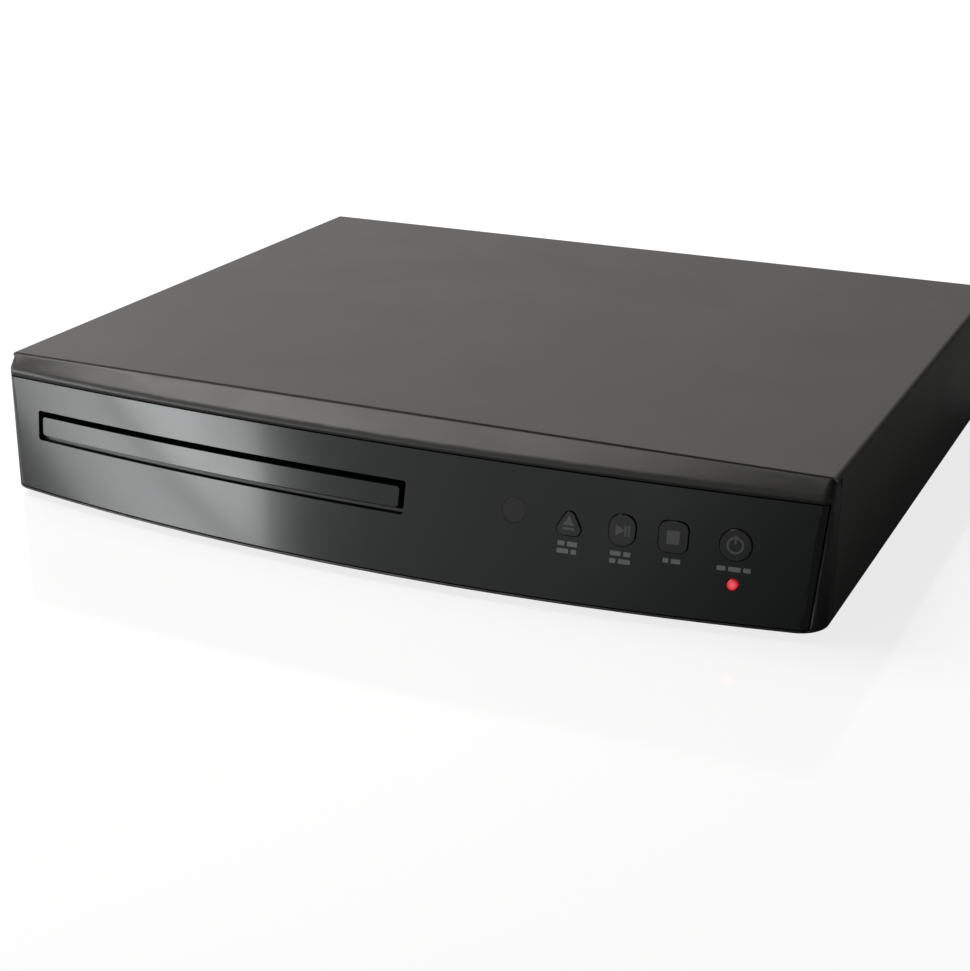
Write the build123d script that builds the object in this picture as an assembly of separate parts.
from build123d import *
from functools import cache
from math import acos, asin, cos, degrees, pi, radians, sin, tan
import os

# A compact disc player with a bowed glossy front and a motor-driven disc tray.
# Millimetres. +Z is up, -Y is the front, +X is the right seen from the front.
# The origin is the middle of the overall box, on the surface the feet stand on.

# Case
body_width = 270.0
body_height = 43.4
cover_depth = 212.8
foot_height = 2.6
sheet = 0.8
cover_fold = 1.4
rear_flange = 9.0
gap = 0.3
side_return = 4.9
jack_reach = 8.6

# Bowed front: how far it stands out in front of the cover, at the middle and at the ends
bow_bottom = 20.0
end_bottom = 6.3
corner_bottom = 9.0
bow_shoulder = 9.8
end_shoulder = 3.7
corner_shoulder = 3.2
shoulder_drop = 4.6
shoulder_round = 2.6
crown_drop = 0.4
bow_crown = 1.3
end_crown = 0.7
corner_crown = 1.6
crown_inset = 0.7
bezel_wall = 4.0
hidden_corner = 2.0
fascia_thickness = 2.0
glue_gap = 0.2
seam = 0.4
fascia_drop = 7.0
fascia_lip = 1.0
fascia_top_inset = 1.0
fascia_bottom_inset = 3.8
tongue = 6.0
tongue_thickness = 1.6
tongue_inset = 6.0
side_tongue_low = 14.0
tab_width = 12.0
boss_radius = 2.6
boss_reach = 12.0

# Tray door and tray
tray_inset = 80.6
tray_z = 25.0
door_width = 131.2
door_height = 5.8
door_wall = 1.6
slot_gap = 1.9
collar_gap = 1.1
door_overlap = 1.7
tray_length = 179.0
tray_ledge = 1.2
ledge_height = 1.6
tray_under = 24.2
disc_radius = 60.0
disc_play = 0.75
disc_recess = 1.8
small_disc_radius = 40.0
small_recess = 0.8
disc_setback = 66.0
hub_slot_half = 17.0
hub_slot_reach = 46.0
rack_height = 2.6
rack_inset = 8.5
rack_body = 3.0

# Gears
module = 0.8
pressure = radians(20)
backlash = 0.24
pinion_teeth = 18
wheel_teeth = 30
gear_bore = 1.55
hub_radius = 4.0
running_fit = 0.05
gear_setback = 21.0
pulley_radius = 12.6
motor_pulley_radius = 3.2
groove_depth = 1.0
belt_thickness = 0.8
belt_height = 1.2
belt_gap = 0.1
motor_distance = 40.0
motor_radius = 10.0
motor_height = 11.4

# Loader frame
frame_floor = 8.0
frame_floor_thickness = 1.6
frame_wall = 2.0
frame_front = 6.0
frame_back = 186.0
frame_top = 31.0
grommet_neck = 3.5
grommet_flange = 5.2
window_half = 42.6
beam_back = 37.2
rear_beam = 6.0
guide_gap = 0.3
tray_tab_places = (14, 62, 110, 158)
grommet_places = (52, 164)
rail_reach = 3.0

# Traverse, drawn raised against the disc and then lowered about its trunnions
hub_drop = 6.5
pivot_setback = 172.0
traverse_z = 18.0
traverse_plate = 3.0
traverse_half = 40.0
traverse_front = 44.0
trunnion_radius = 2.0
trunnion_reach = 5.4
disc_lift_z = 27.2
turntable_radius = 14.5
turntable_plate = 2.0
rotor_radius = 12.5
rotor_wall = 1.6
spindle_radius = 1.0
cone_radius = 7.3
cone_height = 2.0
motor_base = 1.0
pickup_half = 22.0
pickup_bottom = 11.8
pickup_top = 21.5
pickup_length = 29.0
inner_track = 24.0
rod_radius = 1.5
rod_spacing = 26.0
rod_z = 13.9
screw_radius = 1.3
screw_offset = 33.5
lens_radius = 3.2
lens_holder = 7.0

# Cam slider
cam_travel = 14.0
cam_plate = 2.0
cam_setback = 38.0
cam_pin_radius = 1.2
cam_pin_spacing = 20.0
cam_slot_gap = 0.3
cam_margin = 1.7
cam_end = 8.0

# Clamp
bridge_half = 20.0
bridge_plate = 1.6
clamper_radius = 15.0
clamper_body = 11.8
clamper_flange = 1.2
clamper_under = 28.6
clamp_plate_radius = 9.0

# Front controls
board_thickness = 1.6
front_board_setback = 5.0
front_board_low = 9.0
front_board_high = 38.0
front_board_inset = 5.0
front_board_width = 100.0
board_screw_inset = 5.0
button_z = 25.4
button_gap = 0.35
button_proud = 0.4
button_travel = 0.6
button_flange = 1.2
button_stem = 1.5
open_inset = 71.4
play_inset = 56.1
stop_inset = 41.7
power_inset = 24.6
button_reach = 4.95
flange_reach = 6.0
light_z = 14.2
light_radius = 1.5
light_length = 3.6
sensor_inset = 88.0
sensor_z = 26.6
sensor_radius = 3.5
switch_size = 6.0
switch_depth = 3.6
plunger_reach = 0.8
plunger_radius = 1.7

# Boards and sockets
standoff_height = 5.0
grommet_seat = 3.2
standoff_radius = 3.5
screw_hole = 1.3
main_board_inset = 81.0
main_board_width = 62.0
main_board_depth = 96.0
power_board_inset = 25.0
power_board_width = 42.0
power_board_depth = 134.0
board_back_gap = 2.0
jack_pitch = 14.0
jack_inset = 94.0
jack_low_z = 16.0
jack_radius = 4.15
jack_bore = 1.7
jack_ring = 5.2
jack_block_depth = 12.0
digital_inset = 64.0
digital_z = 14.2
digital_width = 15.0
digital_height = 5.6
digital_depth = 12.0
inlet_inset = 23.0
inlet_z = 19.0
inlet_width = 22.0
inlet_height = 15.0
inlet_depth = 17.0
inlet_core = 8.4
foot_radius = 9.0
foot_inset = 23.0
foot_front = 26.0
foot_setback = 24.8
foot_plug = 2.5
rear_screw_inset = 25.0
vent_inset = 23.0
vent_pitch = 7.0
vent_columns = 14
vent_low = 14.0
vent_rise = 14.0
vent_width = 2.2
vent_height = 9.0
pan_vents = 9
pan_vent_pitch = 8.0
pan_vent_front = 74.0
pan_vent_length = 26.0
pan_vent_width = 2.4

# Screws: shank, and the heads' radius and height
screw_shank = 1.2
small_head = 2.4
small_head_height = 1.4
wide_head = 3.6
wide_head_height = 1.6
cover_head = 2.8
cover_head_height = 1.8

# Places worked out from the sizes above
pan_z = foot_height
top_z = pan_z + body_height
pan_top = pan_z + sheet
front_y = (bow_bottom - cover_depth - jack_reach) / 2
back_y = front_y + cover_depth
half_width = body_width / 2
tray_x = tray_inset - half_width
tray_width = door_width - 2 * door_overlap
open_x = half_width - open_inset
play_x = half_width - play_inset
stop_x = half_width - stop_inset
power_x = half_width - power_inset
sensor_x = half_width - sensor_inset
main_board_x = half_width - main_board_inset
power_board_x = half_width - power_board_inset
jack_x = half_width - jack_inset
digital_x = half_width - digital_inset
inlet_x = half_width - inlet_inset
foot_x = half_width - foot_inset
shoulder_z = top_z - shoulder_drop
crown_z = top_z - crown_drop
panel_y = back_y - 2 * sheet
tray_rim = tray_z + door_height / 2
tray_front = front_y - 1.2
tray_back = tray_front + tray_length
disc_y = front_y + disc_setback
disc_floor = tray_rim - disc_recess
wall_inner = tray_width / 2 + tray_ledge + 0.5
wall_outer = wall_inner + frame_wall
rack_x = tray_x + tray_width / 2 - rack_inset
pinion_radius = module * pinion_teeth / 2
wheel_radius = module * wheel_teeth / 2
drive_x = rack_x - pinion_radius
gear_y = front_y + gear_setback
pulley_x = drive_x - wheel_radius - pinion_radius
motor_x = pulley_x - motor_distance
gear_z = frame_floor + frame_floor_thickness + 0.6
gear_width = 3.2
motor_roof = frame_floor + motor_height - 3.9
pulley_z = motor_roof + 1.9
pulley_width = 2.8
rack_z = tray_under - rack_height
pivot_y = front_y + pivot_setback
tilt = degrees(asin(hub_drop / (pivot_setback - disc_setback)))
pin_arm = pivot_setback - cam_setback - cam_plate / 2
pin_rise = pin_arm * sin(radians(tilt))
plate_top = traverse_z + traverse_plate / 2
plate_under = traverse_z - traverse_plate / 2
lens_y = disc_y + inner_track
board_y = front_y + front_board_setback


def slab(x_span, y_span, z_span):
    """A block between two limits along X, Y and Z."""
    spans = (x_span, y_span, z_span)
    size = [high - low for low, high in spans]
    middle = [(high + low) / 2 for low, high in spans]
    return Pos(*middle) * Box(*size)


def about(middle, width):
    """The two limits of a width centred on a place."""
    return (middle - width / 2, middle + width / 2)


def upright(x, y, z_low, z_high, radius):
    """A round bar along Z."""
    return Pos(x, y, (z_low + z_high) / 2) * Cylinder(radius, z_high - z_low)


def fore_aft(x, z, y_low, y_high, radius):
    """A round bar along Y."""
    return Pos(x, (y_low + y_high) / 2, z) * Rot(X=90) * Cylinder(radius, y_high - y_low)


def crosswise(y, z, x_low, x_high, radius):
    """A round bar along X."""
    return Pos((x_low + x_high) / 2, y, z) * Rot(Y=90) * Cylinder(radius, x_high - x_low)


def ngon(radius, sides, around=False):
    """A regular outline inside a circle, or around it where it is a hole for something round."""
    return RegularPolygon(radius, sides, major_radius=not around)


def column(x, y, z_low, z_high, radius, sides=8, around=False):
    """A many-sided bar along Z."""
    return along_z(Pos(x, y) * ngon(radius, sides, around), z_low, z_high)


def column_y(x, z, y_low, y_high, radius, sides=8, around=False):
    """A many-sided bar along Y."""
    return along_y(Pos(x, z) * ngon(radius, sides, around), y_low, y_high)


def screw_down(x, y, low, seat, radius, height):
    """A screw along Z: its shank from below up to the seat, and its head on the seat."""
    return column(x, y, low, seat, screw_shank, 6) + column(x, y, seat, seat + height, radius, 8)


def along_y(sketch, y_low, y_high):
    """A sketch drawn in X and Z, extruded from one depth to another."""
    plane = Plane((0, y_high, 0), x_dir=(1, 0, 0), z_dir=(0, -1, 0))
    return extrude(plane * sketch, y_high - y_low)


def along_z(sketch, z_low, z_high):
    """A sketch drawn in X and Y, extruded between two heights."""
    return extrude(Pos(0, 0, z_low) * sketch, z_high - z_low)


def save(name, *shapes):
    """Write one sub-part, as one solid or a group of solids."""
    solids = [solid for shape in shapes for solid in shape.solids()]
    export_step(solids[0] if len(solids) == 1 else Compound(children=solids), f"parts/{name}.step")


# ---- Bowed front -------------------------------------------------------------------------

def front_level(z, half_span, bow, end, corner_radius, inset, back):
    """One level of the front: a shallow arc between two rounded corners, cut off on hidden levels."""
    half = half_span - inset
    middle = front_y - bow + inset
    side = front_y - end + inset
    arc = ThreePointArc((-half, side), (0, middle), (half, side))
    rest = Polyline((half, side), (half, back), (-half, back), (-half, side))
    level = make_face(Curve() + [arc, rest])
    corners = level.vertices().filter_by(lambda corner: corner.Y < back - 0.01)
    if inset > fascia_thickness:
        return Pos(0, 0, z) * chamfer(corners, hidden_corner)
    return Pos(0, 0, z) * fillet(corners, max(corner_radius - inset, 0.4))


@cache
def face_form(inset, back):
    """The leaning front face as a solid, from the bottom up to the shoulder."""
    bottom = front_level(pan_z, half_width, bow_bottom, end_bottom, corner_bottom, inset, back)
    shoulder = front_level(shoulder_z, half_width, bow_shoulder, end_shoulder, corner_shoulder, inset, back)
    return loft([bottom.face(), shoulder.face()], ruled=True)


@cache
def crown_form(inset, back):
    """The land above the shoulder, rising to the cover's front edge."""
    shoulder = front_level(shoulder_z, half_width, bow_shoulder, end_shoulder, corner_shoulder, inset, back)
    crown = front_level(crown_z, half_width - crown_inset, bow_crown, end_crown, corner_crown, inset, back)
    return loft([shoulder.face(), crown.face()], ruled=True)


@cache
def front_skin(outer_depth, inner_depth):
    """A skin of the leaning face, between two depths measured straight back."""
    form = face_form(0, front_y + side_return)
    return Pos(0, outer_depth, 0) * form - Pos(0, inner_depth, 0) * form


def fascia_region(margin):
    """The part of the front that the glossy panel covers."""
    top = top_z - fascia_drop + margin
    bottom = pan_z + fascia_lip - margin
    upper = half_width - fascia_top_inset + margin
    lower = half_width - fascia_bottom_inset + margin
    outline = make_face(Polyline((-lower, bottom), (lower, bottom), (upper, top), (-upper, top), close=True))
    return along_y(outline, front_y - bow_bottom - 1, front_y)


def window(width, height, middle_x, middle_z, cut):
    """A rectangular window with its corners cut off, in X and Z."""
    outline = Pos(middle_x, middle_z) * Rectangle(width, height)
    return chamfer(outline.vertices(), cut)


def tray_window(margin):
    """The tray's window, grown by a margin all round."""
    return window(door_width + 2 * margin, door_height + 2 * margin, tray_x, tray_z, 0.6)


def button_places():
    return {"open_button": open_x, "play_button": play_x, "stop_button": stop_x, "power_button": power_x}


def button_outlines(margin):
    """The four button outlines, each at its own place and grown by a margin."""
    dome = Polyline((-4.6, -3.4), (4.6, -3.4), (0, 4.6), close=True)
    shapes = {
        "open_button": fillet(make_face(dome).vertices(), 1.6),
        "play_button": RectangleRounded(7.4, 8.4, 3.2),
        "stop_button": RectangleRounded(8.0, 8.4, 2.2),
        "power_button": ngon(4.3, 24),
    }
    placed = {}
    for name, shape in shapes.items():
        grown = offset(shape, margin, kind=Kind.INTERSECTION) if margin else shape
        placed[name] = Pos(button_places()[name], button_z) * grown
    return placed


def through_front(sketch):
    """A sketch cut right through the front."""
    return along_y(sketch, front_y - bow_bottom - 2, front_y + side_return)


def light_hole(radius, sides, around=False):
    return Pos(power_x, light_z) * ngon(radius, sides, around)


def sensor_hole(radius, sides, around=False):
    return Pos(sensor_x, sensor_z) * ngon(radius, sides, around)


def front_bezel():
    """The moulded frame behind and around the glossy panel."""
    back = front_y + side_return - gap
    outer = face_form(0, back) + crown_form(0, back)
    shoulder = outer.edges().filter_by(lambda edge: abs(edge.center().Z - shoulder_z) < 0.01)
    outer = fillet(shoulder.filter_by(lambda edge: edge.center().Y < back - 0.01), shoulder_round)
    over_cover = slab((-half_width - 1, half_width + 1), (front_y - gap, back + 1), (top_z - sheet - gap, top_z + 1))
    for sign in (-1, 1):
        low, high = sorted((sign * (half_width - 2 * sheet - gap), sign * (half_width + 1)))
        over_cover += slab((low, high), (front_y - gap, back + 1), (top_z - cover_fold - gap, top_z + 1))
    cavity = face_form(bezel_wall, back + 1) + crown_form(bezel_wall, back + 1)
    room = slab((-half_width, half_width), (front_y - bow_bottom, back + 1), (pan_z + 2, crown_z - 3.2))
    bezel = outer - over_cover - (cavity & room)
    bezel -= front_skin(0, fascia_thickness + glue_gap) & fascia_region(seam)
    bezel -= through_front(tray_window(collar_gap))
    for x in button_places().values():
        bezel -= through_front(Pos(x, button_z) * ngon(button_reach + button_gap, 8, around=True))
    bezel -= through_front(light_hole(light_radius + button_gap, 6, around=True))
    bezel -= through_front(sensor_hole(sensor_radius - 0.8, 6))
    return bezel + bezel_tongues() + board_bosses()


def tab_places():
    """Where the bezel's lower tabs hook into the pan's front flange."""
    return (31 - half_width, half_width - 71, half_width - 17)


def bezel_tongues():
    """Tongues that slide under the cover, and tabs that hook into the pan's front flange."""
    back = front_y + side_return - gap
    under = top_z - sheet - gap
    side = half_width - sheet - gap
    reach = (tongue_inset - side, side - tongue_inset)
    parts = slab(reach, (front_y - 1, front_y + tongue), (under - tongue_thickness, under))
    for sign in (-1, 1):
        inner, outer = sorted((sign * (side - tongue_thickness), sign * side))
        upright_span = (pan_z + side_tongue_low, under - tongue_inset)
        parts += slab((inner, outer), (back - 2, back + tongue), upright_span)
    low = pan_top + gap
    for x in tab_places():
        depth = (front_y - end_bottom + 1, front_y + tongue + 3)
        parts += slab(about(x, tab_width), depth, (low, low + tongue_thickness))
    return parts


def board_bosses():
    """Four bosses that carry the front board."""
    bosses = []
    for x, z in board_screw_places():
        boss = column_y(x, z, front_y - boss_reach, board_y, boss_radius) & face_form(bezel_wall - 1, board_y + 1)
        bosses.append(boss - column_y(x, z, front_y - 1, board_y + 1, screw_hole, 6, around=True))
    return bosses[0] + bosses[1:]


def front_board_span():
    right = half_width - front_board_inset
    return (right - front_board_width, right)


def board_screw_places():
    left, right = front_board_span()
    heights = (front_board_low + board_screw_inset - 1, front_board_high - board_screw_inset + 1)
    return [(x, z) for x in (left + board_screw_inset, right - board_screw_inset) for z in heights]


def front_fascia():
    """The glossy panel that makes the front face."""
    panel = front_skin(0, fascia_thickness) & fascia_region(0)
    panel -= through_front(tray_window(slot_gap))
    for outline in button_outlines(button_gap).values():
        panel -= through_front(outline)
    panel -= through_front(light_hole(light_radius + button_gap, 16))
    panel -= through_front(sensor_hole(sensor_radius + 0.1, 24))
    return panel


def button(outline, x):
    """A button cap that follows the front, with a flange behind the wall and a stem to its switch."""
    back = front_y + side_return
    cap = along_y(outline, front_y - bow_bottom, back)
    cap &= face_form(-button_proud, back) - face_form(bezel_wall + 0.9, back)
    flange = column_y(x, button_z, front_y - bow_bottom, back, flange_reach, 8, around=True)
    flange &= face_form(bezel_wall + gap, back) - face_form(bezel_wall + gap + button_flange, back)
    stem_end = board_y - switch_depth - plunger_reach - gap - button_travel
    stem = column_y(x, button_z, front_y - boss_reach, stem_end, button_stem, 6) & face_form(bezel_wall, back)
    return cap + flange + stem


def light_lens():
    """The light pipe over the power light."""
    lamp_tip = board_y - light_length - light_radius
    pipe = along_y(light_hole(light_radius, 16), front_y - bow_bottom, lamp_tip - gap)
    return pipe & face_form(-0.1, front_y + side_return)


def sensor_window():
    """The round dark window over the remote sensor."""
    return through_front(sensor_hole(sensor_radius, 24)) & front_skin(0, fascia_thickness)


def front_board():
    """The narrow board behind the front, screwed to the bezel's bosses."""
    depth = (board_y, board_y + board_thickness)
    board = slab(front_board_span(), depth, (front_board_low, front_board_high))
    for x, z in board_screw_places():
        board -= column_y(x, z, board_y - 1, board_y + board_thickness + 1, screw_hole + 0.2, 6, around=True)
    return board


def switches():
    """Four tact switches on the front board."""
    parts = []
    face = board_y - switch_depth
    for x in button_places().values():
        body = slab(about(x, switch_size), (face, board_y), about(button_z, switch_size))
        parts.append(body + column_y(x, button_z, face - plunger_reach, face, plunger_radius))
    return parts


def remote_sensor():
    """The remote sensor: a small block with a round lens."""
    block = slab(about(sensor_x, 6), (board_y - 4, board_y), about(sensor_z, 7))
    return block + column_y(sensor_x, sensor_z, board_y - 5, board_y - 4, 2.2)


def power_light():
    """A light on the front board, with a stepped tip."""
    shoulder = board_y - light_length
    body = column_y(power_x, light_z, shoulder, board_y, light_radius)
    return body + column_y(power_x, light_z, shoulder - light_radius, shoulder, 0.7 * light_radius)


# ---- Steel case --------------------------------------------------------------------------

def rear_screw_places():
    side = half_width - rear_screw_inset
    return [(x, top_z - sheet - rear_flange / 2) for x in (-side, 0, side)]


def top_cover():
    """One folded sheet: top, two sides and a turned-down rear flange."""
    middle_z = pan_z + body_height / 2
    outer = Rectangle(body_width, body_height)
    outer = fillet(outer.vertices().group_by(Axis.Y)[-1], cover_fold)
    inner = Pos(0, -sheet) * Rectangle(body_width - 2 * sheet, body_height)
    inner = fillet(inner.vertices().group_by(Axis.Y)[-1], cover_fold - sheet)
    cover = along_y(Pos(0, middle_z) * (outer - inner), front_y, back_y)
    for sign in (-1, 1):
        low, high = sorted((sign * (half_width - 2 * sheet), sign * (half_width + 1)))
        cover -= slab((low, high), (front_y - 1, front_y + side_return), (pan_z - 1, top_z - cover_fold))
    flange_half = half_width - sheet - gap
    flange = slab((-flange_half, flange_half), (back_y - sheet, back_y), (top_z - rear_flange, top_z - sheet))
    for x, z in rear_screw_places():
        flange -= column_y(x, z, back_y - 2, back_y + 1, screw_hole + gap, 6, around=True)
    return cover + flange


def standoff_places():
    """Where the pan's drawn standoffs carry the two boards."""
    main = [(main_board_x + sx * (main_board_width / 2 - 5), y) for sx in (-1, 1)
            for y in (main_board_y()[0] + 5, main_board_y()[1] - 24)]
    power = [(power_board_x + sx * (power_board_width / 2 - 5), y) for sx in (-1, 1)
             for y in (power_board_y()[0] + 5, power_board_y()[1] - 30)]
    return main + power


def loader_places():
    """Where the loader's four grommets stand."""
    reach = (window_half + wall_inner) / 2
    return [(tray_x + sign * reach, front_y + y) for sign in (-1, 1) for y in grommet_places]


def foot_places():
    return [(sign * foot_x, y) for sign in (-1, 1) for y in (front_y + foot_front, back_y - foot_setback)]


def main_board_y():
    return (panel_y - board_back_gap - main_board_depth, panel_y - board_back_gap)


def power_board_y():
    return (panel_y - board_back_gap - power_board_depth, panel_y - board_back_gap)


def base_pan():
    """The steel pan with its flanges, drawn standoffs and vents."""
    half = half_width - sheet - 0.1
    front = front_y + side_return + gap
    pan = slab((-half, half), (front, back_y - sheet), (pan_z, pan_top))
    pan += slab((8 - half, half - 8), (front, front + sheet), (pan_z, pan_top + 4))
    for sign in (-1, 1):
        low, high = sorted((sign * half, sign * (half - sheet)))
        pan += slab((low, high), (front_y + 16, panel_y - 2), (pan_z, pan_top + 9))
    for x in tab_places():
        pan -= slab(about(x, tab_width + 2), (front - 1, front + sheet + 1), (pan_top, pan_top + 3))
    for places, height, radius in ((standoff_places(), standoff_height, standoff_radius - 0.4),
                                   (loader_places(), grommet_seat, standoff_radius + 0.7)):
        for x, y in places:
            pan += column(x, y, pan_top, pan_top + height, radius)
            pan -= column(x, y, pan_z - 1, pan_top + height + 1, screw_hole, 6, around=True)
    for x, y in foot_places():
        pan -= column(x, y, pan_z - 1, pan_top + 1, foot_plug + 0.1, 8, around=True)
    for row in range(pan_vents):
        y = front_y + pan_vent_front + row * pan_vent_pitch
        pan -= slab(about(power_board_x, pan_vent_length), about(y, pan_vent_width), (pan_z - 1, pan_top + 1))
    return pan


def rear_panel():
    """The rear wall, with a cut-out for each socket and two rows of vents."""
    half = half_width - sheet - gap
    top = top_z - sheet - gap
    panel = slab((-half, half), (panel_y, panel_y + sheet), (pan_top, top))
    panel += slab((2 - half, half - 2), (panel_y - 6, panel_y + sheet), (pan_top, pan_top + sheet))
    for x, z in jack_places():
        panel -= column_y(x, z, panel_y - 1, panel_y + 2, jack_ring + 0.2, 12, around=True)
    panel -= through_panel(window(digital_width + 0.6, digital_height + 0.6, digital_x, digital_z, 0.5))
    panel -= through_panel(window(inlet_width + 0.6, inlet_height + 0.6, inlet_x, inlet_z, 2))
    for x, z in rear_screw_places():
        panel -= column_y(x, z, panel_y - 2, panel_y + 2, screw_hole, 6, around=True)
    for column_number in range(vent_columns):
        for row in range(2):
            x = vent_inset - half_width + column_number * vent_pitch
            panel -= through_panel(Pos(x, vent_low + row * vent_rise) * Rectangle(vent_width, vent_height))
    return panel


def through_panel(sketch):
    return along_y(sketch, panel_y - 1, panel_y + sheet + 1)


def rubber_feet():
    """Four round feet, each with a plug through the pan."""
    plug_top = pan_top + 0.8
    return [column(x, y, 0, pan_z, foot_radius, 20) + column(x, y, pan_z, plug_top, foot_plug)
            for x, y in foot_places()]


def cover_screws():
    """Screws that hold the cover's rear flange."""
    screws = []
    for x, z in rear_screw_places():
        shank = column_y(x, z, back_y - 6, back_y, screw_shank, 6)
        screws.append(shank + column_y(x, z, back_y, back_y + cover_head_height, cover_head, 12))
    return screws


# ---- Gears -------------------------------------------------------------------------------

def gear_outline(teeth):
    """A spur gear's outline with involute flanks."""
    pitch = module * teeth / 2
    base = pitch * cos(pressure)
    tip = pitch + module
    root = pitch - 1.25 * module
    flank_start = max(base, root)
    half_tooth = pi / (2 * teeth) - backlash / (4 * pitch)
    involute = tan(pressure) - pressure
    flank = [(root, half_tooth + involute + 0.02)]
    for radius in (flank_start, tip):
        angle = acos(min(1, base / radius))
        flank.append((radius, half_tooth + involute - (tan(angle) - angle)))
    points = []
    for tooth in range(teeth):
        middle = 2 * pi * tooth / teeth
        rising = [(radius, middle - angle) for radius, angle in flank]
        falling = [(radius, middle + angle) for radius, angle in reversed(flank)]
        points += [(radius * cos(angle), radius * sin(angle)) for radius, angle in rising + falling]
    return make_face(Polyline(*points, close=True))


def grooved(x, y, z_low, width, radius, sides):
    """A pulley with one belt groove."""
    z_high = z_low + width
    lip = 0.65
    core = column(x, y, z_low, z_high, radius - groove_depth, sides)
    return core + column(x, y, z_low, z_low + lip, radius, sides) + column(x, y, z_high - lip, z_high, radius, sides)


def drive_gear():
    """The wheel turned by the pulley gear, with the pinion that drives the tray's rack."""
    middle = Pos(drive_x, gear_y)
    wheel = along_z(middle * gear_outline(wheel_teeth), gear_z + 0.3, gear_z + gear_width)
    hub = column(drive_x, gear_y, gear_z, rack_z, hub_radius, 12)
    pinion = along_z(middle * gear_outline(pinion_teeth), rack_z - 0.4, tray_under - gap)
    return wheel + hub + pinion - upright(drive_x, gear_y, gear_z - 1, tray_under + 1, gear_bore)


def pulley_gear():
    """The belt's large pulley with its pinion."""
    middle = Pos(pulley_x, gear_y) * Rot(Z=180 / pinion_teeth)
    pinion = along_z(middle * gear_outline(pinion_teeth), gear_z, gear_z + gear_width + 0.6)
    hub = column(pulley_x, gear_y, gear_z, pulley_z, hub_radius, 12)
    pulley = grooved(pulley_x, gear_y, pulley_z, pulley_width, pulley_radius, 24)
    return pinion + hub + pulley - upright(pulley_x, gear_y, gear_z - 1, pulley_z + 5, gear_bore)


def motor_pulley():
    """The small pulley pressed on the loading motor's shaft."""
    pulley = grooved(motor_x, gear_y, pulley_z, pulley_width, motor_pulley_radius, 12)
    return pulley - upright(motor_x, gear_y, pulley_z - 1, pulley_z + 5, spindle_radius + running_fit)


def loading_motor():
    """A small flat can motor with its shaft up."""
    can = column(motor_x, gear_y, motor_roof - motor_height, motor_roof, motor_radius, 20)
    boss = column(motor_x, gear_y, motor_roof, motor_roof + 0.9, 2.6)
    shaft = column(motor_x, gear_y, motor_roof, pulley_z + pulley_width + 0.4, spindle_radius)
    return can + boss + shaft


def drive_belt():
    """The rubber belt round both pulleys."""
    middle = pulley_z + pulley_width / 2
    loops = []
    for extra in (belt_gap, belt_gap + belt_thickness):
        large = Pos(pulley_x, gear_y) * Circle(pulley_radius - groove_depth + extra)
        small = Pos(motor_x, gear_y) * Circle(motor_pulley_radius - groove_depth + extra)
        loops.append(make_hull(large.edges() + small.edges()))
    return along_z(loops[1] - loops[0], middle - belt_height / 2, middle + belt_height / 2)


# ---- Tray --------------------------------------------------------------------------------

def tray_rack():
    """The rack under the tray's right arm, in mesh with the drive gear's pinion."""
    pitch = pi * module
    first = tray_front + 6
    last = tray_back - 2
    flank = tan(pressure)
    half_pitch_tooth = pitch / 4 - backlash / 4
    edge = rack_x + module * 1.25
    points = [(edge + rack_body, first)]
    count_low = int((gear_y - first) / pitch) - 1
    count_high = int((last - gear_y) / pitch) - 1
    points.append((edge, first))
    for index in range(-count_low, count_high):
        middle = gear_y + (index + 0.5) * pitch
        root_half = half_pitch_tooth + flank * module * 1.25
        tip_half = half_pitch_tooth - flank * module * 0.9
        tip = rack_x - module * 0.9
        points += [(edge, middle - root_half), (tip, middle - tip_half),
                   (tip, middle + tip_half), (edge, middle + root_half)]
    points += [(edge, last), (edge + rack_body, last)]
    return along_z(make_face(Polyline(*points, close=True)), rack_z, tray_under + 0.5)


def disc_tray():
    """The moulded tray: two disc recesses, the hub slot, guide ledges, side arms and rack."""
    half = tray_width / 2
    plan = Pos(0, (tray_front + tray_back) / 2) * window(tray_width, tray_length, tray_x, 0, 3)
    tray = along_z(plan, tray_under, tray_rim)
    tray -= upright(tray_x, disc_y, disc_floor, tray_rim + 1, disc_radius + disc_play)
    tray -= upright(tray_x, disc_y, disc_floor - small_recess, tray_rim, small_disc_radius + disc_play)
    slot = Pos(tray_x, disc_y) * ngon(hub_slot_half, 24)
    slot += Pos(tray_x, disc_y + hub_slot_reach / 2) * Rectangle(2 * hub_slot_half, hub_slot_reach)
    slot += Pos(0, disc_y + hub_slot_reach) * window(2 * hub_slot_half, 24, tray_x, 0, 4)
    tray -= along_z(slot, tray_under - 1, tray_rim + 1)
    recess_back = disc_y + disc_radius + disc_play
    tray -= slab(about(tray_x, 2 * half - 18), (recess_back + 4, tray_back + 1), (disc_floor, tray_rim + 1))
    tray -= slab(about(tray_x, 2 * half - 40), (recess_back + 14, tray_back + 1), (tray_under - 1, tray_rim + 1))
    for sign in (-1, 1):
        tray -= column(tray_x + sign * half, disc_y, disc_floor - 0.2, tray_rim + 1, 9, 16)
        inner, outer = sorted((tray_x + sign * (half - 1), tray_x + sign * (half + tray_ledge)))
        tray += slab((inner, outer), (tray_front + 4, tray_back - 1), (tray_under, tray_under + ledge_height))
        for y in (tray_front + 9.5, recess_back - 7):
            tray -= slab(about(tray_x + sign * (half - 8), 9), about(y, 12), (tray_under - 1, tray_rim - 1.6))
    return tray + tray_rack()


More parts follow.
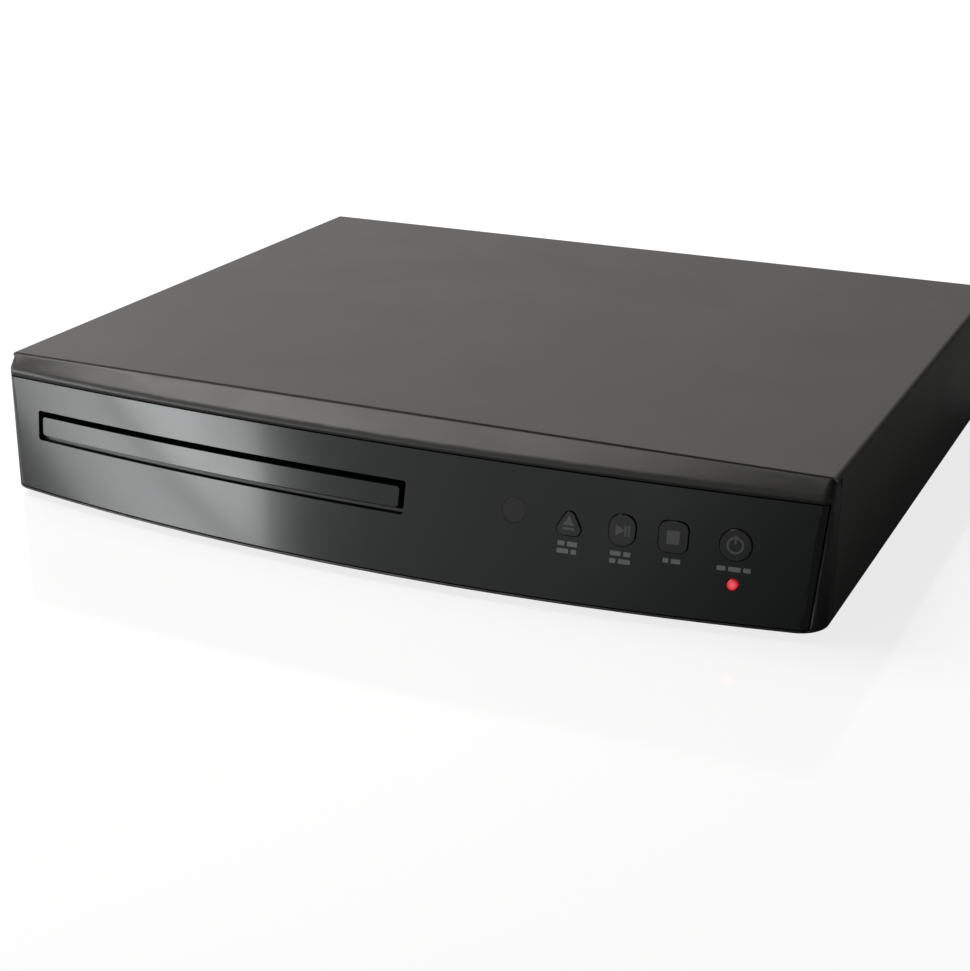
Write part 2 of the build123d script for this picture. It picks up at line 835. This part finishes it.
def tray_door():
    """The tray's front: a hollow strip that follows the bowed face."""
    back = front_y + side_return
    strip = along_y(tray_window(0), front_y - bow_bottom - 2, tray_front)
    door = strip & face_form(0, back)
    inner = window(door_width - 2 * door_wall, door_height - 2 * door_wall, tray_x, tray_z, 0.4)
    hollow = along_y(inner, front_y - bow_bottom - 2, tray_front + 1) & face_form(fascia_thickness, back)
    for x in (-44, 0, 44):
        hollow -= slab(about(tray_x + x, 1.6), (front_y - 30, front_y), (0, 40))
    return door - hollow


# ---- Loader frame ------------------------------------------------------------------------

def loader_frame():
    """The moulded frame that carries the tray, the gear train, the cam slider and the traverse."""
    front = front_y + frame_front
    back = front_y + frame_back
    floor = (frame_floor, frame_floor + frame_floor_thickness)
    low_wall = tray_under - rack_height - 0.7
    frame = slab(about(tray_x, 2 * wall_outer), (front, front_y + beam_back), floor)
    frame += slab(about(tray_x, 2 * wall_outer), (front, front + 1.6), (frame_floor, low_wall))
    frame += slab(about(tray_x, 2 * wall_outer), (front_y + beam_back - 1.6, front_y + beam_back), (frame_floor, 19.5))
    frame += slab(about(tray_x, 2 * wall_outer), (back - rear_beam, back), floor)
    frame += slab(about(tray_x, 2 * wall_outer), (back - 1.6, back), (frame_floor, frame_top - 4))
    for sign in (-1, 1):
        wall = sorted((tray_x + sign * wall_inner, tray_x + sign * wall_outer))
        strip = sorted((tray_x + sign * window_half, tray_x + sign * wall_outer))
        rail = sorted((tray_x + sign * (wall_inner - rail_reach), tray_x + sign * wall_inner))
        tab = sorted((tray_x + sign * (tray_width / 2 + gap), tray_x + sign * wall_inner))
        frame += slab(wall, (front, back), (frame_floor, frame_top))
        frame += slab(strip, (front_y + beam_back, back), floor)
        frame += slab(rail, (front, back - rear_beam), (tray_under - guide_gap - 1.6, tray_under - guide_gap))
        for y in tray_tab_places:
            over = tray_under + ledge_height + guide_gap
            frame += slab(tab, about(front_y + y, 12), (over, over + 1.4))
        bracket = sorted((tray_x + sign * (window_half + 0.1), tray_x + sign * (window_half + 2.8)))
        frame += slab(bracket, about(pivot_y, 10), (frame_floor, traverse_z + 3.4))
        frame -= crosswise(pivot_y, traverse_z, bracket[0] - 1, bracket[1] + 1, trunnion_radius + 0.06)
    frame -= slab(about(tray_x, 2 * (tray_width / 2 + 2 * tray_ledge)), (front - 1, front + 2), (low_wall, frame_top + 1))
    for x, y in bridge_screw_places():
        frame += column(x, y, frame_floor, frame_top, boss_radius)
        frame -= column(x, y, frame_top - 8, frame_top + 1, screw_hole, 6, around=True)
    for x, y in loader_places():
        frame -= column(x, y, frame_floor - 1, frame_floor + 3, grommet_neck + 0.1, 8, around=True)
    return frame + motor_cup() + gear_posts() + cam_hooks() - motor_room()


def motor_cup():
    """The cup whose roof carries the loading motor."""
    return column(motor_x, gear_y, frame_floor, motor_roof + 1.2, motor_radius + 2.1, 20)


def motor_room():
    """The room inside the cup for the motor and its boss."""
    room = column(motor_x, gear_y, frame_floor - 1, motor_roof, motor_radius + 0.2, 20)
    return room + column(motor_x, gear_y, motor_roof - 1, motor_roof + 2, 3.0)


def gear_posts():
    """Fixed posts that the two gears turn on."""
    radius = gear_bore - running_fit
    floor = frame_floor + 1
    seat = frame_floor + frame_floor_thickness + gap
    posts = None
    for x, top in ((drive_x, tray_under - gap), (pulley_x, pulley_z + pulley_width)):
        post = column(x, gear_y, floor, top, radius, 12) + column(x, gear_y, floor, seat, 3.0)
        posts = post if posts is None else posts + post
    return posts


def cam_low():
    return traverse_z - pin_rise - cam_pin_radius - cam_slot_gap - cam_margin


def cam_high():
    return traverse_z + cam_pin_radius + cam_slot_gap + cam_margin


def cam_hooks():
    """Hooks that carry the cam slider along the front beam."""
    hooks = None
    y_wall = front_y + beam_back - 1
    y_behind = front_y + cam_setback + cam_plate + gap
    for x in (tray_x - 6, tray_x + 6):
        low = cam_low() - gap
        hook = slab(about(x, 7), (y_wall, y_behind + 1.2), (low - 1.0, low))
        hook += slab(about(x, 7), (y_behind, y_behind + 1.2), (low - 1.0, low + 2.2))
        hook += slab(about(x, 7), (y_wall, y_wall + 0.9), (low - 1.0, frame_floor + 1))
        hooks = hook if hooks is None else hooks + hook
    return hooks


def cam_slider():
    """The sliding plate whose slanted slots lift the traverse's front pins."""
    low_pin = traverse_z - pin_rise
    reach = cam_pin_spacing + cam_travel + cam_end
    plate = slab((tray_x - reach, tray_x + cam_pin_spacing + cam_end), cam_y(), (cam_low(), cam_high()))
    slope = degrees(asin(pin_rise / (pin_rise ** 2 + cam_travel ** 2) ** 0.5))
    length = (pin_rise ** 2 + cam_travel ** 2) ** 0.5
    width = 2 * (cam_pin_radius + cam_slot_gap)
    for sign in (-1, 1):
        middle_x = tray_x + sign * cam_pin_spacing - cam_travel / 2
        slot = Pos(middle_x, low_pin + pin_rise / 2) * Rot(Z=-slope) * SlotCenterToCenter(length, width)
        plate -= along_y(slot, cam_y()[0] - 1, cam_y()[1] + 1)
    return plate


def cam_y():
    return (front_y + cam_setback, front_y + cam_setback + cam_plate)


def loader_grommets():
    """Rubber grommets between the pan's standoffs and the loader frame."""
    parts = []
    low = pan_top + grommet_seat
    top = frame_floor + frame_floor_thickness
    for x, y in loader_places():
        body = column(x, y, low, frame_floor, grommet_flange) + column(x, y, frame_floor, top, grommet_neck)
        body += column(x, y, top, top + 1.0, grommet_flange)
        parts.append(body - column(x, y, low - 1, top + 2, screw_hole + 0.2, 6, around=True))
    return parts


def loader_screws():
    """Screws through the loader's grommets."""
    seat = frame_floor + frame_floor_thickness + 1.0
    return [screw_down(x, y, pan_top, seat, wide_head, wide_head_height) for x, y in loader_places()]


def bridge_screw_places():
    reach = wall_outer + 1.6
    return [(tray_x + sign * reach, disc_y + side * (bridge_half - 5)) for sign in (-1, 1) for side in (-1, 1)]


def clamp_bridge():
    """The plate over the tray that holds the clamper."""
    plate_high = frame_top + bridge_plate
    plan = Pos(0, disc_y) * window(2 * wall_outer + 8.4, 2 * bridge_half, tray_x, 0, 3)
    bridge = along_z(plan, frame_top, plate_high)
    bridge += column(tray_x, disc_y, frame_top, plate_high + 1.6, clamper_radius + 3, 24)
    bridge -= column(tray_x, disc_y, plate_high, frame_top + 10, clamper_radius + 1, 24)
    bridge -= column(tray_x, disc_y, frame_top - 1, frame_top + 10, clamper_body + 0.8, 24)
    for sign in (-1, 1):
        bridge -= slab(about(tray_x + sign * 42, 30), about(disc_y, 22), (frame_top - 1, frame_top + 5))
    for x, y in bridge_screw_places():
        bridge -= column(x, y, frame_top - 1, frame_top + 3, screw_hole + 0.2, 6, around=True)
    return bridge


def bridge_screws():
    seat = frame_top + bridge_plate
    return [screw_down(x, y, seat - 7, seat, small_head, small_head_height) for x, y in bridge_screw_places()]


def clamper():
    """The puck that presses the disc on the turntable."""
    seat = frame_top + bridge_plate + gap
    puck = column(tray_x, disc_y, clamper_under, seat, clamper_body, 24)
    puck += column(tray_x, disc_y, seat, seat + clamper_flange, clamper_radius, 24)
    return puck - upright(tray_x, disc_y, clamper_under - 1, clamper_under + 2.6, cone_radius + 1)


def clamper_plate():
    """The steel disc on top of the clamper that the turntable's magnet pulls."""
    top = frame_top + bridge_plate + gap + clamper_flange
    return column(tray_x, disc_y, top, top + 1.0, clamp_plate_radius, 24)


# ---- Traverse ----------------------------------------------------------------------------

def lowered(shape):
    """Turn a raised piece down about the trunnions, to where it rests."""
    return shape.rotate(Axis((0, pivot_y, traverse_z), (1, 0, 0)), tilt)


def traverse_frame():
    """The hinged frame that carries the motor, the rods and the pickup."""
    front = front_y + traverse_front
    back = pivot_y + 5
    plan = Pos(0, (front + back) / 2) * window(2 * traverse_half, back - front, tray_x, 0, 4)
    frame = along_z(plan, plate_under, plate_top)
    opening = (disc_y + 14, disc_y + 86)
    frame -= slab(about(tray_x, 2 * pickup_half + 3), opening, (plate_under - 1, plate_top + 1))
    for sign in (-1, 1):
        for y_low in (opening[0] - 8, opening[1] - 3):
            x = tray_x + sign * rod_spacing
            frame += slab(about(x, 7), (y_low, y_low + 6), (rod_z - 3, plate_under))
            frame -= column_y(x, rod_z, y_low - 1, y_low + 7, rod_radius + 0.02, 8, around=True)
        pin = sorted((tray_x + sign * (traverse_half - 1), tray_x + sign * (traverse_half + trunnion_reach)))
        frame += crosswise(pivot_y, traverse_z, pin[0], pin[1], trunnion_radius)
        cam_x = tray_x + sign * cam_pin_spacing
        frame += fore_aft(cam_x, traverse_z, cam_y()[0] - 0.1, front + 1, cam_pin_radius)
    return frame + screw_brackets()


def screw_brackets():
    """Two bracket plates that hold the lead screw and its motor."""
    x = tray_x - screw_offset
    front = slab(about(x, 6), (disc_y + 4, disc_y + 6), (screw_low(), plate_under))
    rear = slab(about(x, 6), (disc_y + 82, disc_y + 84), (screw_low(), plate_under))
    return front + rear - fore_aft(x, rod_z, disc_y, disc_y + 90, screw_radius + running_fit)


def screw_low():
    return rod_z - 2.6


def spindle_motor():
    """The motor's fixed base with its bearing tube."""
    top = plate_top + motor_base
    base = column(tray_x, disc_y, plate_top, top, rotor_radius + 0.8, 20)
    tube = column(tray_x, disc_y, plate_top, disc_lift_z - turntable_plate - 1.2, 2.6, 12)
    return base + tube - upright(tray_x, disc_y, plate_top + 0.5, disc_lift_z, spindle_radius + running_fit)


def turntable():
    """Rotor, platform, centring cone and shaft, all turning together."""
    low = plate_top + motor_base + gap
    under = disc_lift_z - turntable_plate
    rotor = column(tray_x, disc_y, low, under, rotor_radius, 24)
    rotor -= column(tray_x, disc_y, low - 1, under - 0.9, rotor_radius - rotor_wall, 24)
    platform = column(tray_x, disc_y, under, disc_lift_z, turntable_radius, 24)
    cone = column(tray_x, disc_y, disc_lift_z, disc_lift_z + cone_height - 0.4, cone_radius - 0.4, 24)
    cone += column(tray_x, disc_y, disc_lift_z, disc_lift_z + cone_height, cone_radius - 2.2, 24)
    shaft = upright(tray_x, disc_y, plate_top + 0.8, under, spindle_radius)
    return rotor + platform + cone + shaft


def pickup_body():
    """The die-cast pickup: a block between the rods, a sleeve, a fork and a nut for the lead screw."""
    y_low = lens_y - 9
    y_high = y_low + pickup_length - 9
    body = slab(about(tray_x, 2 * pickup_half - 2), (y_low, y_high), (pickup_bottom, pickup_top - 1.5))
    body = chamfer(body.edges().filter_by(Axis.Z), 2)
    body += slab(about(tray_x, 24), (y_low + 1, y_high - 1), (pickup_bottom, pickup_top))
    left = tray_x - rod_spacing
    right = tray_x + rod_spacing
    low = rod_z - 2.3
    high = rod_z + 2.3
    body += slab((left - 2.6, tray_x - pickup_half + 3), (y_low, y_high), (low, high))
    body -= fore_aft(left, rod_z, y_low - 1, y_high + 1, rod_radius + running_fit)
    body += slab((tray_x + pickup_half - 3, right + 2.6), about(lens_y + 2, 7), (low, high))
    body -= slab((right - 1.8, right + 4), about(lens_y + 2, 9), about(rod_z, 2 * (rod_radius + running_fit)))
    nut = slab((tray_x - screw_offset - 2.4, left), about(lens_y + 4, 6), (low, high))
    nut -= fore_aft(tray_x - screw_offset, rod_z, lens_y, lens_y + 8, screw_radius + running_fit)
    body += nut
    body -= fore_aft(left, rod_z, y_low - 1, y_high + 1, rod_radius + running_fit)
    return body - column(tray_x, lens_y, pickup_top - 2, pickup_top + 1, lens_holder - 1.2, 16)


def pickup_lens():
    """The round lens in its holder."""
    low = pickup_top - 2
    holder = column(tray_x, lens_y, low, pickup_top + 2, lens_holder - 1.5, 16)
    rim = column(tray_x, lens_y, low, pickup_top + 3.2, lens_radius + 0.6, 16)
    return holder + rim + column(tray_x, lens_y, low, pickup_top + 4.0, lens_radius, 16)


def guide_rods():
    return [column_y(tray_x + sign * rod_spacing, rod_z, disc_y + 6, disc_y + 90, rod_radius, 16) for sign in (-1, 1)]


def lead_screw():
    """The screw that moves the pickup."""
    return fore_aft(tray_x - screw_offset, rod_z, disc_y + 3, disc_y + 86.7, screw_radius)


def feed_motor():
    """The pickup's small motor, behind the lead screw."""
    x = tray_x - screw_offset
    return slab(about(x, 7.4), (disc_y + 87, disc_y + 97), (plate_under - 9.4, plate_under))


# ---- Electronics -------------------------------------------------------------------------

def board(width, middle_x, span_y, places):
    low = pan_top + standoff_height
    plate = slab(about(middle_x, width), span_y, (low, low + board_thickness))
    for x, y in places:
        plate -= column(x, y, low - 1, low + 3, screw_hole + 0.2, 6, around=True)
    return plate


def board_top():
    return pan_top + standoff_height + board_thickness


def board_screws():
    return [screw_down(x, y, pan_top + 1, board_top(), small_head, small_head_height) for x, y in standoff_places()]


def front_board_screws():
    back = board_y + board_thickness
    screws = []
    for x, z in board_screw_places():
        head = column_y(x, z, back, back + small_head_height, small_head)
        screws.append(head + column_y(x, z, back - 6, back, screw_shank, 6))
    return screws


def main_chips():
    """The decoder, its memory and two small chips."""
    top = board_top()
    y0 = main_board_y()[0]
    places = ((0, 42, 20, 20, 1.6), (-19, 42, 8, 14, 1.2), (18, 20, 8, 10, 1.2), (-12, 16, 10, 8, 1.2))
    return [slab(about(main_board_x + x, w), about(y0 + y, d), (top, top + h)) for x, y, w, d, h in places]


def heat_sink():
    """The finned block on the decoder."""
    y = main_board_y()[0] + 42
    low = board_top() + 1.6
    block = slab(about(main_board_x, 20), about(y, 20), (low, low + 2))
    for index in range(6):
        block += slab(about(main_board_x - 9 + index * 3.6, 1.2), about(y, 20), (low + 2, low + 9))
    return block


def board_capacitors():
    top = board_top()
    y0 = main_board_y()[0]
    places = ((-22, 62, 3.2, 9), (-12, 62, 3.2, 9), (22, 50, 4, 11), (22, 36, 3.2, 9), (6, 64, 2.5, 7))
    return [column(main_board_x + x, y0 + y, top, top + h, r, 12) for x, y, r, h in places]


def power_capacitors():
    top = board_top()
    y0 = power_board_y()[0]
    places = ((10, 30, 4, 14), (-4, 30, 4, 14), (10, 18, 3.2, 11))
    return [column(power_board_x + x, y0 + y, top, top + h, r, 12) for x, y, r, h in places]


def mains_capacitor():
    top = board_top()
    return column(power_board_x + 10, power_board_y()[0] + 88, top, top + 24, 7, 16)


def transformer_core():
    """The ferrite core round the winding."""
    y = power_board_y()[0] + 58
    low = board_top() + 2
    core = slab(about(power_board_x + 2, 22), about(y, 20), (low, low + 18))
    for sign in (-1, 1):
        core -= slab(about(power_board_x + 2 + sign * 6, 5.4), about(y, 30), (low + 4, low + 14))
    return core


def transformer_winding():
    """The bobbin's winding, through the core's two windows."""
    y = power_board_y()[0] + 58
    low = board_top() + 2
    side = 4.8
    coil = slab(about(power_board_x + 2, 17), about(y, 25), (low + 4.3, low + 13.7))
    coil = coil - slab(about(power_board_x + 2, 7.2), about(y, 20.6), (low + 3, low + 15))
    foot = slab(about(power_board_x + 2, 18), (y + 10.3, y + 12.5), (board_top(), low + 5))
    return coil + foot + slab(about(power_board_x + 2, 18), (y - 12.5, y - 10.3), (board_top(), low + 5))


def power_heat_sink():
    top = board_top()
    y = power_board_y()[0] + 76
    plate = slab(about(power_board_x - 2, 26), (y - 0.8, y + 0.8), (top, top + 22))
    plate += slab(about(power_board_x - 2, 10), (y + 0.8, y + 5), (top + 6, top + 20))
    return plate


def mains_fuse():
    """A glass fuse in its two clips."""
    top = board_top()
    y = power_board_y()[0] + 104
    left = power_board_x - 12
    tube = Pos(left, y, top + 4) * Rot(Y=90) * extrude(ngon(2.6, 10), 20)
    for x in (left + 1, left + 19):
        tube += slab(about(x, 3), about(y, 4), (top, top + 5))
    return tube


def jack_places():
    return [(jack_x + sx * jack_pitch / 2, jack_low_z + row * jack_pitch) for row in (0, 1) for sx in (-1, 1)]


def socket_block():
    """The moulded block that carries the four round sockets."""
    width = 2 * jack_pitch
    low = board_top()
    block = slab(about(jack_x, width), (panel_y - jack_block_depth, panel_y), (low, jack_low_z + 1.5 * jack_pitch))
    for x, z in jack_places():
        block -= column_y(x, z, panel_y - jack_block_depth + 2, panel_y + 1, jack_bore)
    return block


def socket_rings():
    """The coloured collars, one for each round socket."""
    rings = []
    for x, z in jack_places():
        ring = column_y(x, z, panel_y, back_y + 1.6, jack_ring, 16)
        rings.append(ring - column_y(x, z, panel_y - 1, back_y + 3, jack_radius, 16))
    return rings


def socket_shells():
    """The metal sleeves that a round plug slides over."""
    shells = []
    for x, z in jack_places():
        shell = column_y(x, z, panel_y, back_y + jack_reach, jack_radius, 16)
        shells.append(shell - column_y(x, z, panel_y - 1, back_y + jack_reach + 1, jack_bore))
    return shells


def digital_socket():
    """The digital video socket: a folded metal shell round a flat tongue."""
    back = back_y - sheet
    front = back - digital_depth
    outer = window(digital_width, digital_height, digital_x, digital_z, 0.8)
    inner = window(digital_width - 1, digital_height - 1, digital_x, digital_z, 0.5)
    shell = along_y(outer, front, back) - along_y(inner, front + 2, back + 1)
    feet = slab(about(digital_x, digital_width), (front, front + 4), (board_top(), digital_z - digital_height / 2))
    tongue_part = slab(about(digital_x, digital_width - 4), (front + 1, back - 2), about(digital_z, 1.2))
    return shell + feet + tongue_part


def mains_inlet():
    """The two-pin mains inlet, a figure-of-eight well in a rounded housing."""
    back = back_y - sheet
    housing = along_y(window(inlet_width, inlet_height, inlet_x, inlet_z, 2), back - inlet_depth, back)
    low = board_top()
    housing += slab(about(inlet_x, inlet_width), (back - inlet_depth, back - 4), (low, inlet_z))
    well = Pos(inlet_x - 3.8, inlet_z) * ngon(inlet_core / 2, 12) + Pos(inlet_x + 3.8, inlet_z) * ngon(inlet_core / 2, 12)
    well += Pos(inlet_x, inlet_z) * Rectangle(7.6, inlet_core - 2)
    return housing - along_y(well, back - inlet_depth + 4, back + 1)


def inlet_pins():
    back = back_y - sheet
    return [column_y(inlet_x + sx * 4.3, inlet_z, back - inlet_depth + 4, back - 2, 1.2) for sx in (-1, 1)]


def front_ribbon():
    """The flat cable from the front board to the main board."""
    y_front = board_y + board_thickness
    y_back = main_board_y()[0]
    z_high = board_top() + 0.6
    x = about(main_board_x, 14)
    lead = slab(x, (y_front, y_back + 8), (z_high, z_high + 0.4))
    plug = slab(about(main_board_x, 17), (y_back + 3, y_back + 8), (board_top(), z_high))
    return lead + plug


def build():
    """Make every sub-part and write it."""
    os.makedirs("parts", exist_ok=True)
    save("top_cover", top_cover())
    save("base_pan", base_pan())
    save("rear_panel", rear_panel())
    save("rubber_feet", *rubber_feet())
    save("cover_screws", *cover_screws())
    save("front_bezel", front_bezel())
    save("front_fascia", front_fascia())
    for name, outline in button_outlines(0).items():
        save(name, button(outline, button_places()[name]))
    save("light_lens", light_lens())
    save("sensor_window", sensor_window())
    save("front_board", front_board())
    save("tact_switches", *switches())
    save("remote_sensor", remote_sensor())
    save("power_light", power_light())
    save("front_board_screws", *front_board_screws())
    save("disc_tray", disc_tray())
    save("tray_door", tray_door())
    save("loader_frame", loader_frame())
    save("drive_gear", drive_gear())
    save("pulley_gear", pulley_gear())
    save("drive_belt", drive_belt())
    save("loading_motor", loading_motor())
    save("motor_pulley", motor_pulley())
    save("cam_slider", cam_slider())
    save("loader_grommets", *loader_grommets())
    save("loader_screws", *loader_screws())
    save("clamp_bridge", clamp_bridge())
    save("bridge_screws", *bridge_screws())
    save("clamper", clamper())
    save("clamper_plate", clamper_plate())
    save("traverse_frame", lowered(traverse_frame()))
    save("spindle_motor", lowered(spindle_motor()))
    save("turntable", lowered(turntable()))
    save("pickup_body", lowered(pickup_body()))
    save("pickup_lens", lowered(pickup_lens()))
    save("guide_rods", *[lowered(rod) for rod in guide_rods()])
    save("lead_screw", lowered(lead_screw()))
    save("feed_motor", lowered(feed_motor()))
    places = standoff_places()
    save("main_board", board(main_board_width, main_board_x, main_board_y(), places[:4]))
    save("main_chips", *main_chips())
    save("heat_sink", heat_sink())
    save("board_capacitors", *board_capacitors())
    save("power_board", board(power_board_width, power_board_x, power_board_y(), places[4:]))
    save("power_capacitors", *power_capacitors())
    save("mains_capacitor", mains_capacitor())
    save("transformer_core", transformer_core())
    save("transformer_winding", transformer_winding())
    save("power_heat_sink", power_heat_sink())
    save("mains_fuse", mains_fuse())
    save("board_screws", *board_screws())
    save("socket_block", socket_block())
    save("socket_rings", *socket_rings())
    save("socket_shells", *socket_shells())
    save("digital_socket", digital_socket())
    save("mains_inlet", mains_inlet())
    save("inlet_pins", *inlet_pins())
    save("front_ribbon", front_ribbon())


build()
